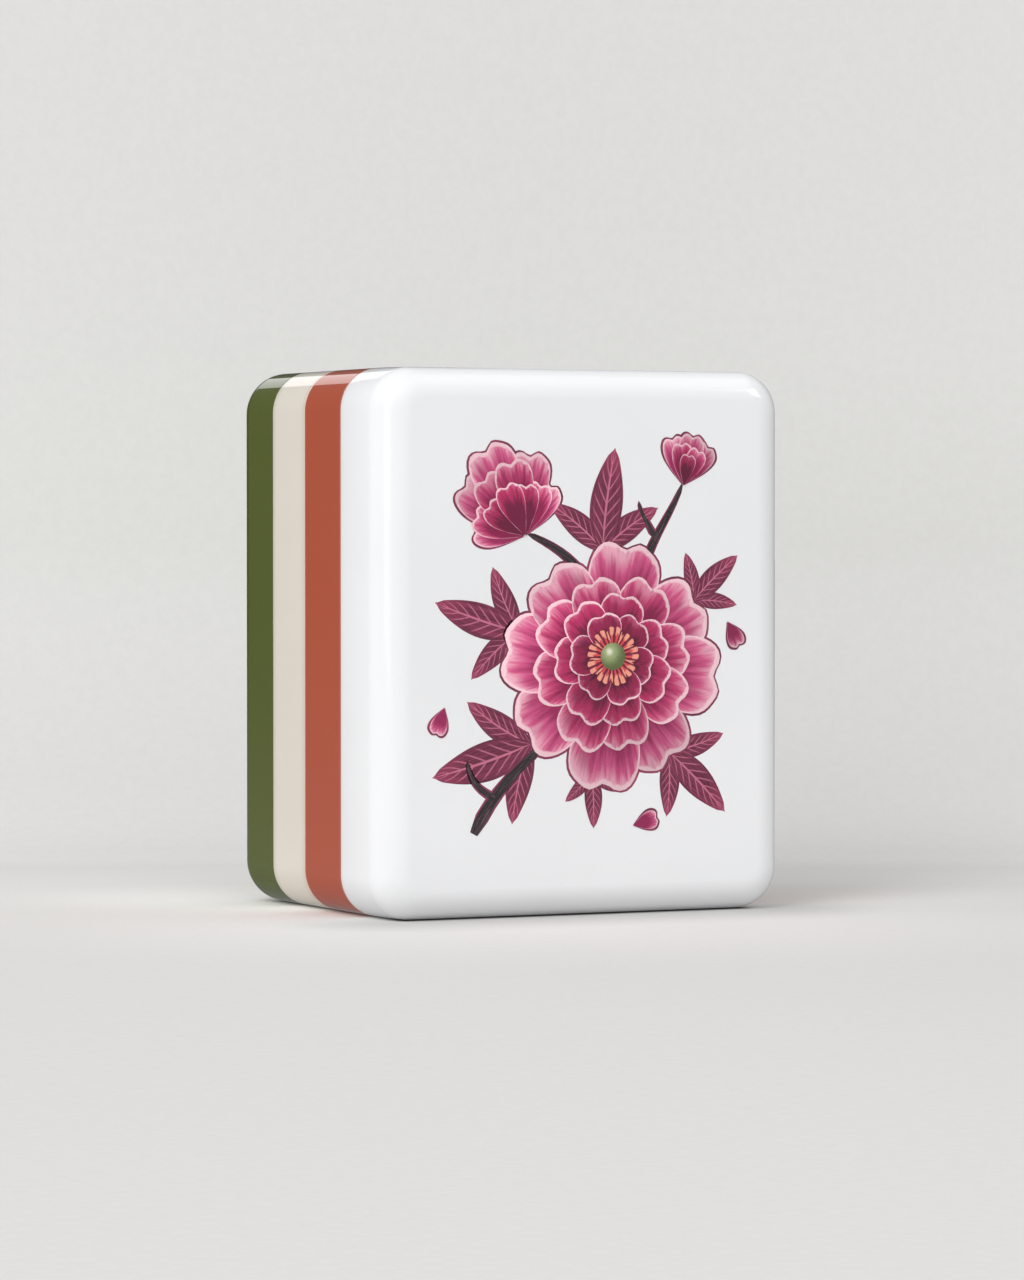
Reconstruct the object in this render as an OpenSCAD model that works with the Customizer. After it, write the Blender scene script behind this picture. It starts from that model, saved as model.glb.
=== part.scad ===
// Mahjong tile, laminated from four coloured acrylic slabs and printed on its face.
//
// The tile stands upright on its narrow lower edge, as it does in a player's rack.
// +X is the reader's right, -Y is the printed face, +Z is up.
// The origin is the middle of the lower edge, where the tile stands.
//
// Every piece is drawn lying down, in the order of the lay-up: the back of the tile is
// the plane z = 0, the face is at z = tile_d, and y runs up the face. upright() then
// stands the lay-up on its edge.

/* [Tile] */
// Width of the tile
tile_w = 27; // [26:0.5:34]
// Height of the tile, the way the picture stands
tile_h = 32; // [31:0.5:42]
// Radius of the four corners of the outline
corner_r = 2.5; // [2.5:0.1:3.5]
// Radius of the rounding round the face and round the back
edge_r = 2.3; // [0.6:0.1:2.4]

/* [Lay-up] */
// Thickness of the white slab that carries the picture
face_t = 5.1; // [3:0.1:8]
// Thickness of the rust-red slab behind it
rust_t = 5.1; // [1:0.1:8]
// Thickness of the cream slab
cream_t = 4.7; // [1:0.1:8]
// Thickness of the green slab that closes the back
back_t = 5.8; // [3:0.1:8]
// Thickness of each film of clear cement between two slabs
bond_t = 0.06; // [0.03:0.01:0.2]
// Depth by which polishing has worn each cement film below the slabs
bond_recess = 0.04; // [0.01:0.01:0.1]

/* [Picture] */
// Height of the printed peony spray
spray_h = 24.6; // [18:0.2:24.6]
// How far the middle of the spray is printed above the middle of the face
spray_lift = 0.9; // [0:0.1:0.9]
// Thickness of one printed film of ink
ink_t = 0.02; // [0.01:0.005:0.04]
// Width of the branch where it is cut
branch_w = 0.7; // [0.4:0.05:1]
// Reach of the full bloom, from its middle to the tips of its guard petals
bloom_r = 7.4; // [5:0.1:7.6]
// Length of the half-open bloom, from its foot to its tip
half_bloom_l = 6; // [4:0.1:6.2]
// Length of the closed bud
bud_l = 3.3; // [2:0.1:3.6]
// Radius of the round seed head in the middle of the full bloom
seed_r = 0.8; // [0.5:0.05:0.9]
// Length of the longest leaf
leaf_l = 6.6; // [4:0.1:6.8]
// Width of the longest leaf
leaf_w = 2.3; // [1.4:0.1:2.6]
// Length of a fallen petal
fallen_l = 1.7; // [1:0.1:2]
// How much wider than the petals and twigs their plum shadow is printed
shadow_w = 0.12; // [0.05:0.01:0.2]

/* [Hidden] */

// Places of the lay-up, counted from the back of the tile.
back_top = back_t;
cream_base = back_top + bond_t;
cream_top = cream_base + cream_t;
rust_base = cream_top + bond_t;
rust_top = rust_base + rust_t;
face_base = rust_top + bond_t;
tile_d = face_base + face_t;

// Smoothness of round solids, and of the outlines of petals and brush strokes.
round_fn = 96;
rim_step = 3;
stroke_steps = 9;

// Colours of the slabs and the cement.
green = [0.33, 0.37, 0.20];
cream = [0.85, 0.83, 0.78];
rust = [0.67, 0.34, 0.26];
white = [0.94, 0.94, 0.95];
cement = [0.90, 0.89, 0.86];

// Colours of the inks.
plum = [0.42, 0.16, 0.27];
black = [0.18, 0.16, 0.17];
blush = [0.95, 0.76, 0.79];
rose = [0.85, 0.42, 0.58];
magenta = [0.75, 0.22, 0.42];
crimson = [0.60, 0.13, 0.32];
coral = [0.85, 0.33, 0.33];
olive = [0.55, 0.61, 0.41];

// Order of the ink films, counted from the face. The plum ink runs on under all the
// others as their shadow. The others lie inside it, each flower's films one on the
// other, so that no film hangs over bare face.
plum_film = 0;
black_film = 1;
blush_film = 1;
rose_film = 2;
magenta_film = 3;
crimson_film = 4;
coral_film = 5;
olive_film = 6;

// Places in the picture, as shares of its height from its middle, x then y.
bloom_share = [0.065, -0.095];
half_bloom_share = [-0.165, 0.215];
bud_share = [0.255, 0.335];

// Turns from straight up, in degrees clockwise, of the half-open bloom and the bud.
half_bloom_turn = -26;
bud_turn = 12;

// The branch and its twigs, each from its foot by two guides to its tip, and the width of
// each as a share of the branch's.
twig_shares = [
    [[-0.300, -0.485], [-0.230, -0.350], [-0.160, -0.330], [-0.030, -0.190]],
    [[0.020, 0.060], [-0.010, 0.150], [-0.080, 0.190], [-0.168, 0.225]],
    [[0.140, 0.080], [0.150, 0.200], [0.220, 0.250], [0.258, 0.350]],
    [[-0.245, -0.402], [-0.290, -0.380], [-0.310, -0.360], [-0.318, -0.310]],
    [[0.178, 0.215], [0.160, 0.250], [0.140, 0.265], [0.136, 0.300]]
];
twig_w_shares = [1, 0.8, 0.7, 0.55, 0.45];

// Leaves in threes: the foot of each three, its turn and its size.
leaf_foot_shares = [
    [-0.150, -0.275], [0.215, -0.300], [-0.180, -0.010], [0.285, 0.060], [0.040, 0.180], [0.010, -0.345]
];
leaf_turns = [-112, 128, -78, 42, 2, 172];
leaf_size_shares = [1.00, 0.80, 0.86, 0.60, 0.92, 0.50];

// The leaflets of a three: turns from the middle one, sizes, and how far each one's tip
// bends to the side.
leaflet_turns = [-42, 42, 0];
leaflet_size_shares = [0.72, 0.72, 1.00];
leaflet_bend_shares = [-0.20, 0.20, 0.10];

// How far up a leaf's middle line its two guides are, and how wide its stalk is as a
// share of its blade.
midrib_guide_shares = [0.35, 0.70];
stalk_share = 0.08;

// Petals that have fallen.
fallen_shares = [[0.120, -0.475], [-0.375, -0.185], [0.375, 0.010]];
fallen_turns = [75, 200, 150];

// Rings of the full bloom, from the guard petals in: how many petals, their reach as a
// share of the bloom's, half their width in degrees, and the turn of the first.
ring_counts = [8, 8, 7, 6, 9];
ring_reach_shares = [1.00, 0.74, 0.55, 0.39, 0.24];
ring_halves = [31, 31, 35, 41, 27];
ring_turns = [8, 31, 12, 40, 5];
ring_lift_share = 0.020;

// The half-open bloom and the bud: films from the outer petals in, and in each how many
// petals, how far they fan to either side, half their width and their reach.
cup_counts = [5, 4, 3];
cup_spreads = [58, 44, 28];
cup_half = 26;
bud_counts = [3, 2, 1];
bud_spreads = [26, 14, 0];
bud_half = 26;
closed_reach_shares = [1.00, 0.80, 0.58];

// How much shorter a fan's petals are the further they lean: a power of their cosine.
lean_power = 0.9;

// Small differences between the petals of one ring: in reach, and in turn as a share of
// the step from petal to petal.
petal_reach_shares = [1.00, 0.95, 0.98, 0.94, 1.00, 0.96, 0.99, 0.95, 0.97];
petal_turn_shares = [0.00, 0.06, -0.05, 0.04, -0.06, 0.05, 0.02, -0.04, 0.03];

// Roundness of a petal: the powers of a rounded square that its rim follows.
rim_power = 3;
rim_root = 0.4;

// How deep a petal's rim is notched in its middle and waved along its length, as shares
// of its reach, how wide the notch is, and how many waves there are.
notch_share = 0.07;
notch_width_share = 0.16;
wave_share = 0.010;
waves = 3.5;

// The lay-up stood on its lower edge, with the face towards -Y.
module upright() {
    translate([0, tile_d / 2, 0])
        rotate([90, 0, 0])
            children();
}

// A quarter of a round rod, as the rounded corner of a section.
module quarter_round(r) {
    intersection() {
        circle(r, $fn = round_fn);
        square(r);
    }
}

// Section through a slab from a line inside it out to its edge: x is outwards, y is up
// through the thickness. Either outer corner can be rounded by edge_r.
module edge_section(reach, thickness, round_low, round_high) {
    low = round_low ? edge_r : 0;
    high = round_high ? edge_r : 0;
    square([reach - edge_r, thickness]);
    translate([0, low])
        square([reach, thickness - low - high]);
    if (round_high)
        translate([reach - edge_r, thickness - edge_r])
            quarter_round(edge_r);
    if (round_low)
        translate([reach - edge_r, edge_r])
            mirror([0, 1])
                quarter_round(edge_r);
}

// One slab of the lay-up: a rounded oblong plate. Its corners are turned and its four
// sides are straight runs of the same section.
module slab(thickness, round_low = false, round_high = false) {
    half_w = tile_w / 2 - corner_r;
    mid_h = tile_h / 2;
    half_h = mid_h - corner_r;
    translate([0, mid_h, 0]) {
        translate([-half_w, -half_h, 0])
            cube([2 * half_w, 2 * half_h, thickness]);
        for (side = [0, 180])
            rotate(side) {
                translate([half_w, half_h, 0])
                    rotate([90, 0, 0])
                        linear_extrude(2 * half_h)
                            edge_section(corner_r, thickness, round_low, round_high);
                translate([-half_w, half_h, 0])
                    rotate([90, 0, 90])
                        linear_extrude(2 * half_w)
                            edge_section(corner_r, thickness, round_low, round_high);
                for (x_way = [-1, 1])
                    translate([x_way * half_w, half_h, 0])
                        rotate(x_way > 0 ? 0 : 90)
                            rotate_extrude(angle = 90, $fn = round_fn)
                                edge_section(corner_r, thickness, round_low, round_high);
            }
    }
}

// One film of cement, worn back a little from the slabs' outline.
module bond_film() {
    film_w = tile_w - 2 * bond_recess;
    film_h = tile_h - 2 * bond_recess;
    film_r = corner_r - bond_recess;
    translate([-film_w / 2, bond_recess, 0])
        linear_extrude(bond_t) {
            translate([film_r, 0])
                square([film_w - 2 * film_r, film_h]);
            translate([0, film_r])
                square([film_w, film_h - 2 * film_r]);
            for (x = [film_r, film_w - film_r], y = [film_r, film_h - film_r])
                translate([x, y])
                    circle(film_r, $fn = round_fn);
        }
}

// A printed drawing as one film of ink, so many films up from the face.
module ink_film(level) {
    upright()
        translate([0, tile_h / 2 + spray_lift, tile_d + level * ink_t])
            linear_extrude(ink_t)
                children();
}

// Moves a drawing to a place in the picture and turns it clockwise.
module at(place_share, turn = 0) {
    translate(place_share * spray_h)
        rotate(-turn)
            children();
}

// Reach of a petal's rim at s, from -1 on its left side to 1 on its right.
function rim(s) =
    (1 - abs(s) ^ rim_power) ^ rim_root
    * (1 - notch_share * exp(-(s / notch_width_share) ^ 2) + wave_share * sin(180 * waves * s));

// Reach of overlapping petals in the direction a: that of the petal that reaches
// furthest there. Each petal has its own turn and reach.
function group_reach(a, turns, reaches, half) =
    max([
        for (i = [0 : len(turns) - 1])
            let (s = ((a - turns[i] + 540) % 360 - 180) / half)
                abs(s) < 1 ? reaches[i] * rim(s) : 0
    ]);

// Turns of petals set evenly from one direction on, each a little out of place.
function petal_turns(count, from, step) = [
    for (i = [0 : count - 1]) from + step * (i + petal_turn_shares[i % len(petal_turn_shares)])
];

// Reaches of petals that all but have one reach.
function petal_reaches(count, reach) = [
    for (i = [0 : count - 1]) reach * petal_reach_shares[i % len(petal_reach_shares)]
];

// How far the middle of ring i is raised, because the bloom is seen a little from below.
function ring_lift(i) = i * ring_lift_share * bloom_r;

// One ring of petals round the middle of the full bloom.
module ring(i, grow = 0) {
    turns = petal_turns(ring_counts[i], ring_turns[i], 360 / ring_counts[i]);
    reaches = petal_reaches(ring_counts[i], bloom_r * ring_reach_shares[i]);
    translate([0, ring_lift(i)])
        polygon([
            for (a = [0 : rim_step : 360 - rim_step])
                (group_reach(a, turns, reaches, ring_halves[i]) + grow) * [sin(a), cos(a)]
        ]);
}

// Petals that fan to both sides of straight up from one foot.
module fan(count, spread, reach, half, grow = 0) {
    turns = petal_turns(count, -spread, count > 1 ? 2 * spread / (count - 1) : 0);
    upright_reaches = petal_reaches(count, reach);
    reaches = [for (i = [0 : count - 1]) upright_reaches[i] * cos(turns[i]) ^ lean_power];
    edge = spread + half - rim_step;
    polygon(concat(
        [[0, -grow]],
        [for (a = [-edge : rim_step : edge])
            (group_reach(a, turns, reaches, half) + grow) * [sin(a), cos(a)]]
    ));
}

// Film i of the half-open bloom.
module cup(i, grow = 0) {
    fan(cup_counts[i], cup_spreads[i], half_bloom_l * closed_reach_shares[i], cup_half, grow);
}

// Film i of the bud.
module bud(i, grow = 0) {
    fan(bud_counts[i], bud_spreads[i], bud_l * closed_reach_shares[i], bud_half, grow);
}

// A fallen petal, drawn about its foot.
module fallen(grow = 0) {
    fan(1, 0, fallen_l, ring_halves[0], grow);
}

// Point on the curve c, given as its start, two guides and its end, at the share t of
// its way.
function on_curve(c, t) =
    (1 - t) ^ 3 * c[0] + 3 * (1 - t) ^ 2 * t * c[1] + 3 * (1 - t) * t ^ 2 * c[2] + t ^ 3 * c[3];

// Unit vector a quarter turn left of the curve there.
function beside_curve(c, t) =
    let (
        way = (1 - t) ^ 2 * (c[1] - c[0]) + 2 * (1 - t) * t * (c[2] - c[1]) + t ^ 2 * (c[3] - c[2])
    )
        [-way[1], way[0]] / norm(way);

// Width of a stroke at t, as a share of its widest: a twig thins towards its tip, and a
// leaf swells from its stalk and closes.
function twig_swell(t) = (1 - t) ^ 0.35;
function leaf_swell(t) = stalk_share + (1 - stalk_share) * sin(180 * t ^ 0.8) ^ 0.9;

// A brush stroke of the width w along the curve c, ending in a point.
module stroke(c, w, leaf = false) {
    sides = [
        for (i = [0 : stroke_steps - 1])
            let (t = i / stroke_steps)
                (leaf ? leaf_swell(t) : twig_swell(t)) * w / 2 * beside_curve(c, t)
    ];
    middles = [for (i = [0 : stroke_steps - 1]) on_curve(c, i / stroke_steps)];
    polygon(concat(
        [for (i = [0 : stroke_steps - 1]) middles[i] + sides[i]],
        [c[3]],
        [for (i = [stroke_steps - 1 : -1 : 0]) middles[i] - sides[i]]
    ));
}

// The branch and its twigs, wider on each side by grow.
module twigs(grow = 0) {
    for (i = [0 : len(twig_shares) - 1])
        stroke(twig_shares[i] * spray_h, branch_w * twig_w_shares[i] + 2 * grow);
}

// Middle line of a leaf of the length l that starts at its foot and points up.
function midrib(l, bend_share) = l * [
    [0, 0],
    [0, midrib_guide_shares[0]],
    [bend_share / 2, midrib_guide_shares[1]],
    [bend_share, 1]
];

// The leaves, three leaflets to each.
module leaves() {
    for (i = [0 : len(leaf_turns) - 1], j = [0 : len(leaflet_turns) - 1]) {
        size_share = leaf_size_shares[i] * leaflet_size_shares[j];
        at(leaf_foot_shares[i], leaf_turns[i] + leaflet_turns[j])
            stroke(midrib(leaf_l * size_share, leaflet_bend_shares[j]), leaf_w * size_share, leaf = true);
    }
}

// Green slab that closes the back, rounded all round its outer face.
module back_slab() {
    color(green)
        upright()
            slab(back_t, round_low = true);
}

// Cement between the green slab and the cream one.
module back_bond() {
    color(cement)
        upright()
            translate([0, 0, back_top])
                bond_film();
}

// Cream slab.
module cream_slab() {
    color(cream)
        upright()
            translate([0, 0, cream_base])
                slab(cream_t);
}

// Cement between the cream slab and the rust-red one.
module middle_bond() {
    color(cement)
        upright()
            translate([0, 0, cream_top])
                bond_film();
}

// Rust-red slab.
module rust_slab() {
    color(rust)
        upright()
            translate([0, 0, rust_base])
                slab(rust_t);
}

// Cement between the rust-red slab and the white one.
module face_bond() {
    color(cement)
        upright()
            translate([0, 0, rust_top])
                bond_film();
}

// White slab that carries the picture, rounded all round its outer face.
module face_slab() {
    color(white)
        upright()
            translate([0, 0, face_base])
                slab(face_t, round_high = true);
}

// The outer petals of the two blooms and the bud.
module outer_petals() {
    at(bloom_share)
        ring(0);
    at(half_bloom_share, half_bloom_turn)
        cup(0);
    at(bud_share, bud_turn)
        bud(0);
}

// The petals of the film i inside the outer ones, on both blooms and the bud.
module inner_petals(i) {
    at(bloom_share)
        ring(i);
    at(half_bloom_share, half_bloom_turn)
        cup(i);
    at(bud_share, bud_turn)
        bud(i);
}

// Leaves, and the shadow that all the rest is printed on.
module plum_ink() {
    color(plum)
        ink_film(plum_film) {
            leaves();
            twigs(shadow_w);
            at(bloom_share)
                ring(0, shadow_w);
            at(half_bloom_share, half_bloom_turn)
                cup(0, shadow_w);
            at(bud_share, bud_turn)
                bud(0, shadow_w);
            for (i = [0 : len(fallen_turns) - 1])
                at(fallen_shares[i], fallen_turns[i])
                    fallen(shadow_w);
        }
}

// Branch and twigs, left out where petals lie in front of them.
module black_ink() {
    color(black)
        ink_film(black_film)
            difference() {
                twigs();
                outer_petals();
            }
}

// Outer petals, and the petals that have fallen.
module blush_ink() {
    color(blush)
        ink_film(blush_film) {
            outer_petals();
            for (i = [0 : len(fallen_turns) - 1])
                at(fallen_shares[i], fallen_turns[i])
                    fallen();
        }
}

// Second petals.
module rose_ink() {
    color(rose)
        ink_film(rose_film)
            inner_petals(1);
}

// Third petals.
module magenta_ink() {
    color(magenta)
        ink_film(magenta_film)
            inner_petals(2);
}

// Inner petals of the full bloom.
module crimson_ink() {
    color(crimson)
        ink_film(crimson_film)
            at(bloom_share)
                ring(3);
}

// Heart petals of the full bloom.
module coral_ink() {
    color(coral)
        ink_film(coral_film)
            at(bloom_share)
                ring(4);
}

// Seed head in the middle of the full bloom.
module olive_ink() {
    color(olive)
        ink_film(olive_film)
            at(bloom_share)
                translate([0, ring_lift(4)])
                    circle(seed_r, $fn = round_fn);
}

back_slab();
back_bond();
cream_slab();
middle_bond();
rust_slab();
face_bond();
face_slab();
plum_ink();
black_ink();
blush_ink();
rose_ink();
magenta_ink();
crimson_ink();
coral_ink();
olive_ink();
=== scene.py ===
import math
import bmesh
import bpy
from mathutils import Matrix, Vector


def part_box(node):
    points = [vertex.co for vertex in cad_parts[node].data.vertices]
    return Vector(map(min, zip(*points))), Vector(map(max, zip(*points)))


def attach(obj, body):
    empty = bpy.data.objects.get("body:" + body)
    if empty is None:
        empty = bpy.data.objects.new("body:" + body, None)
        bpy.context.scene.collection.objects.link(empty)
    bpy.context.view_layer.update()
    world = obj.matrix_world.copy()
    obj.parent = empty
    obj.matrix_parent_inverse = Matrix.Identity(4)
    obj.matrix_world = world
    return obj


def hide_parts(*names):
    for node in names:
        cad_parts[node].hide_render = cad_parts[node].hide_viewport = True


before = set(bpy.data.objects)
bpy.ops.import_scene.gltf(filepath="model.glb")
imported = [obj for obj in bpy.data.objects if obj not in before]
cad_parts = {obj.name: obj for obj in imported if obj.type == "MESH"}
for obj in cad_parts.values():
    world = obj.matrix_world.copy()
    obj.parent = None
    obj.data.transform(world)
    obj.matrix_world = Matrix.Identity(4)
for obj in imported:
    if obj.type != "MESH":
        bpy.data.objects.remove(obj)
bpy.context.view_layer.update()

# Green acrylic slab that closes the back. It is sawn from cast sheet, cemented to the
# cream slab, and then polished with the rest of the lay-up until its corners and its
# outer rim are round and its seam is flush.
mm = 0.001
corner_r = 2.5 * mm
green_rim_r = 2.3 * mm
seam_ease = 0.015 * mm
same_place = seam_ease / 10
arc_steps = 24


def display(red, green, blue):
    """The linear colour that shows as these 0 to 255 levels."""
    levels = [part / 255 for part in (red, green, blue)]
    linear = [part / 12.92 if part < 0.04045 else ((part + 0.055) / 1.055) ** 2.4 for part in levels]
    return (*linear, 1)


def node(tree, kind, inputs=None, **settings):
    """A new node with its settings made, and each input set or linked."""
    made = tree.nodes.new(kind)
    for name, value in settings.items():
        setattr(made, name, value)
    for socket, value in (inputs or {}).items():
        if isinstance(value, bpy.types.NodeSocket):
            tree.links.new(value, made.inputs[socket])
        else:
            made.inputs[socket].default_value = value
    return made


def maths(tree, operation, *values):
    return node(tree, "ShaderNodeMath", dict(enumerate(values)), operation=operation).outputs[0]


def blend(tree, share, first, second):
    """The first colour with a share of the second in it."""
    inputs = {0: share, 6: first, 7: second}
    return node(tree, "ShaderNodeMix", inputs, data_type="RGBA").outputs[2]


def fade(tree, value, start, end, low=0.0, high=1.0):
    """low up to start, high from end on, and a smooth rise between."""
    inputs = {"Value": value, "From Min": start, "From Max": end, "To Min": low, "To Max": high}
    return node(tree, "ShaderNodeMapRange", inputs, interpolation_type="SMOOTHSTEP").outputs[0]


def toned(tree, colour, tone):
    """The colour made lighter or darker by a factor."""
    plain = colour if isinstance(colour, bpy.types.NodeSocket) else colour[:3]
    return node(tree, "ShaderNodeVectorMath", {0: plain, "Scale": tone}, operation="SCALE").outputs[0]


def noise(tree, place, scale, detail, roughness=0.5):
    inputs = {"Vector": place, "Scale": scale, "Detail": detail, "Roughness": roughness}
    return node(tree, "ShaderNodeTexNoise", inputs).outputs[0]


def new_group(name, inputs, outputs):
    """A node group with its sockets, and the nodes that hold them."""
    group = bpy.data.node_groups.new(name, "ShaderNodeTree")
    for label, kind in inputs.items():
        group.interface.new_socket(label, in_out="INPUT", socket_type="NodeSocket" + kind)
    for label, kind in outputs.items():
        group.interface.new_socket(label, in_out="OUTPUT", socket_type="NodeSocket" + kind)
    return group, node(group, "NodeGroupInput"), node(group, "NodeGroupOutput")


def new_material(name):
    """An empty material, and its nodes."""
    material = bpy.data.materials.new(name)
    material.use_nodes = True
    material.node_tree.nodes.clear()
    return material, material.node_tree


wave_scale = 210
wave_h = 0.1 * mm
hairline_turns = (0.5, 1.7, 2.6)
hairline_stretch = (60, 5200, 60)
hairline_haze = 0.12
rubbed_scale = 130
haze_scale = 420
haze_span = 0.03
tone_scale = 70


def buffed_surface():
    """Node group: the buffing of the polished block, as faint waves and hairline scratches."""
    group, given, result = new_group(
        "buffed_surface",
        {"Roughness": "Float", "Waves": "Float", "Scratches": "Float"},
        {"Roughness": "Float", "Normal": "Vector", "Tone": "Float"},
    )
    place = node(group, "ShaderNodeTexCoord").outputs["Object"]
    hairline = 0
    for turn in hairline_turns:
        stretched = node(group, "ShaderNodeMapping", {
            "Vector": place, "Rotation": (turn, turn * 0.7, turn), "Scale": hairline_stretch,
        }).outputs[0]
        line = fade(group, noise(group, stretched, 1.0, 1.0), 0.70, 0.76)
        hairline = maths(group, "ADD", line, hairline)
    rubbed = fade(group, noise(group, place, rubbed_scale, 3.0), 0.45, 0.75)
    scratch = maths(group, "MULTIPLY", hairline, rubbed)
    scratch = maths(group, "MULTIPLY", scratch, given.outputs["Scratches"])
    haze = noise(group, place, haze_scale, 3.0)
    rough = maths(group, "MULTIPLY_ADD", haze, haze_span, given.outputs["Roughness"])
    rough = maths(group, "MULTIPLY_ADD", scratch, hairline_haze, rough)
    group.links.new(rough, result.inputs["Roughness"])
    waves = noise(group, place, wave_scale, 1.0)
    height = maths(group, "MULTIPLY", waves, given.outputs["Waves"])
    bump = node(group, "ShaderNodeBump", {"Height": height, "Strength": 1.0, "Distance": wave_h})
    group.links.new(bump.outputs[0], result.inputs["Normal"])
    tone = fade(group, noise(group, place, tone_scale, 2.0), 0.3, 0.7, 0.985, 1.015)
    group.links.new(tone, result.inputs["Tone"])
    return group


light_bleed_fall = 1.6


def seam_light_bleed():
    """Node group: painted light and shade near a seam, in the neighbour's colour."""
    group, given, result = new_group(
        "seam_light_bleed",
        {
            "Colour": "Color", "Front Colour": "Color", "Back Colour": "Color", "Front Seam": "Float",
            "Back Seam": "Float", "Reach": "Float", "Strength": "Float", "Tone": "Float",
        },
        {"Colour": "Color"},
    )
    place = node(group, "ShaderNodeTexCoord").outputs["Object"]
    depth = node(group, "ShaderNodeSeparateXYZ", {0: place}).outputs["Y"]
    colour = given.outputs["Colour"]
    for side in ("Front", "Back"):
        gap = maths(group, "ABSOLUTE", maths(group, "SUBTRACT", depth, given.outputs[side + " Seam"]))
        near = fade(group, maths(group, "DIVIDE", gap, given.outputs["Reach"]), 0.0, 1.0, 1.0, 0.0)
        near = maths(group, "POWER", near, light_bleed_fall)
        share = maths(group, "MULTIPLY", near, given.outputs["Strength"])
        colour = blend(group, share, colour, given.outputs[side + " Colour"])
    group.links.new(toned(group, colour, given.outputs["Tone"]), result.inputs["Colour"])
    return group


# Painted light and shade near the seams, shared by the acrylic slabs.
buffed = buffed_surface()
light_bleed = seam_light_bleed()
polish = {"Roughness": 0.035, "Waves": 0.02, "Scratches": 1.0}
acrylic_ior = 1.49


def acrylic(name, colour, front_colour, back_colour, slab_box, reach, strength):
    """Cast acrylic, coloured through and polished. reach and strength are those of its painted seam
    light.
    """
    material, tree = new_material(name)
    low, high = slab_box
    finish = node(tree, "ShaderNodeGroup", polish, node_tree=buffed)
    tint = node(tree, "ShaderNodeGroup", {
        "Colour": colour, "Front Colour": front_colour, "Back Colour": back_colour, "Front Seam": low.y,
        "Back Seam": high.y, "Reach": reach, "Strength": strength, "Tone": finish.outputs["Tone"],
    }, node_tree=light_bleed)
    shader = node(tree, "ShaderNodeBsdfPrincipled", {
        "Base Color": tint.outputs["Colour"], "Roughness": finish.outputs["Roughness"],
        "Normal": finish.outputs["Normal"], "IOR": acrylic_ior,
    })
    node(tree, "ShaderNodeOutputMaterial", {"Surface": shader.outputs[0]})
    return material


def add_object(name, plan, material):
    """The finished mesh in the scene."""
    mesh = bpy.data.meshes.new(name)
    plan.to_mesh(mesh)
    plan.free()
    mesh.materials.append(material)
    made = bpy.data.objects.new(name, mesh)
    bpy.context.scene.collection.objects.link(made)
    return made


def add_piece(name, plan, material, slot_name, *replaced):
    """A piece of the tile, on the tile's one body."""
    piece = add_object(name, plan, material)
    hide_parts(*replaced)
    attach(piece, "root")
    return piece


def slab(node_name, front_rim_r, back_rim_r, shape_sides):
    """A plate with turned corners. A rim with a radius is rounded, and one without is eased."""
    low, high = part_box(node_name)
    size = high - low
    plan = bmesh.new()
    bmesh.ops.create_cube(plan, size=1)
    bmesh.ops.scale(plan, verts=plan.verts, vec=size)
    bmesh.ops.translate(plan, verts=plan.verts, vec=(low + high) / 2)
    corners = [
        edge for edge in plan.edges
        if abs(edge.verts[0].co.y - edge.verts[1].co.y) > size.y / 2
    ]
    bmesh.ops.bevel(
        plan, geom=corners, offset=corner_r, offset_type="OFFSET", affect="EDGES",
        segments=arc_steps, profile=0.5, material=-1, clamp_overlap=False,
    )
    if shape_sides:
        shape_sides(plan, low, high)
    for rim_y, rim_r in ((low.y, front_rim_r), (high.y, back_rim_r)):
        rim = [
            edge for edge in plan.edges
            if all(abs(vert.co.y - rim_y) < same_place for vert in edge.verts)
        ]
        turned = bmesh.ops.bevel(
            plan, geom=rim, offset=rim_r or seam_ease, offset_type="OFFSET", affect="EDGES",
            segments=arc_steps if rim_r else 1, profile=0.5, material=-1, clamp_overlap=False,
        )["faces"]
        if not rim_r:
            for edge in {edge for face in turned for edge in face.edges}:
                edge.smooth = all(face in turned for face in edge.link_faces)
    for face in plan.faces:
        face.smooth = True
    return plan


def add_slab(name, node_name, material, slot_name, front_rim_r=0, back_rim_r=0, shape_sides=None):
    plan = slab(node_name, front_rim_r, back_rim_r, shape_sides)
    piece = add_piece(name, plan, material, slot_name, node_name)
    flats = piece.modifiers.new("true_flats", "WEIGHTED_NORMAL")
    flats.weight = 100
    flats.keep_sharp = True


green_acrylic = display(84, 93, 40)
cream_acrylic = display(228, 221, 210)
green_back = acrylic(
    "green_acrylic", green_acrylic, cream_acrylic, green_acrylic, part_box("back_slab"), 0.20 * mm, 0.0,
)
add_slab("green_back", "back_slab", green_back, "green_acrylic", back_rim_r=green_rim_r)

# Cream slab, cut from an opaque off-white sheet and cemented between the green slab and
# the rust-red one. Its edge is polished flush with theirs.
rust_acrylic = display(176, 84, 59)
cream_middle = acrylic(
    "cream_acrylic", cream_acrylic, rust_acrylic, green_acrylic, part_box("cream_slab"), 0.75 * mm, 0.18,
)
add_slab("cream_middle", "cream_slab", cream_middle, "cream_acrylic")

# Rust-red slab, cut from opaque sheet and cemented between the cream slab and the white
# one. It is polished flush with them. Painted light puts a little white on it at its front seam.
white_acrylic = display(238, 239, 241)
rust_middle = acrylic(
    "rust_acrylic", rust_acrylic, white_acrylic, cream_acrylic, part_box("rust_slab"), 0.30 * mm, 0.05,
)
add_slab("rust_middle", "rust_slab", rust_middle, "rust_acrylic")

# White slab at the front, the tile's face. It is opaque cast acrylic with all four face
# edges turned to a quarter round, and buffing has drawn its sides in a little towards
# them. It carries the printed picture.
face_rim_r = 1.75 * mm
side_draw = 0.22 * mm
top_draw = 0.04 * mm
draw_steps = 12


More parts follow.
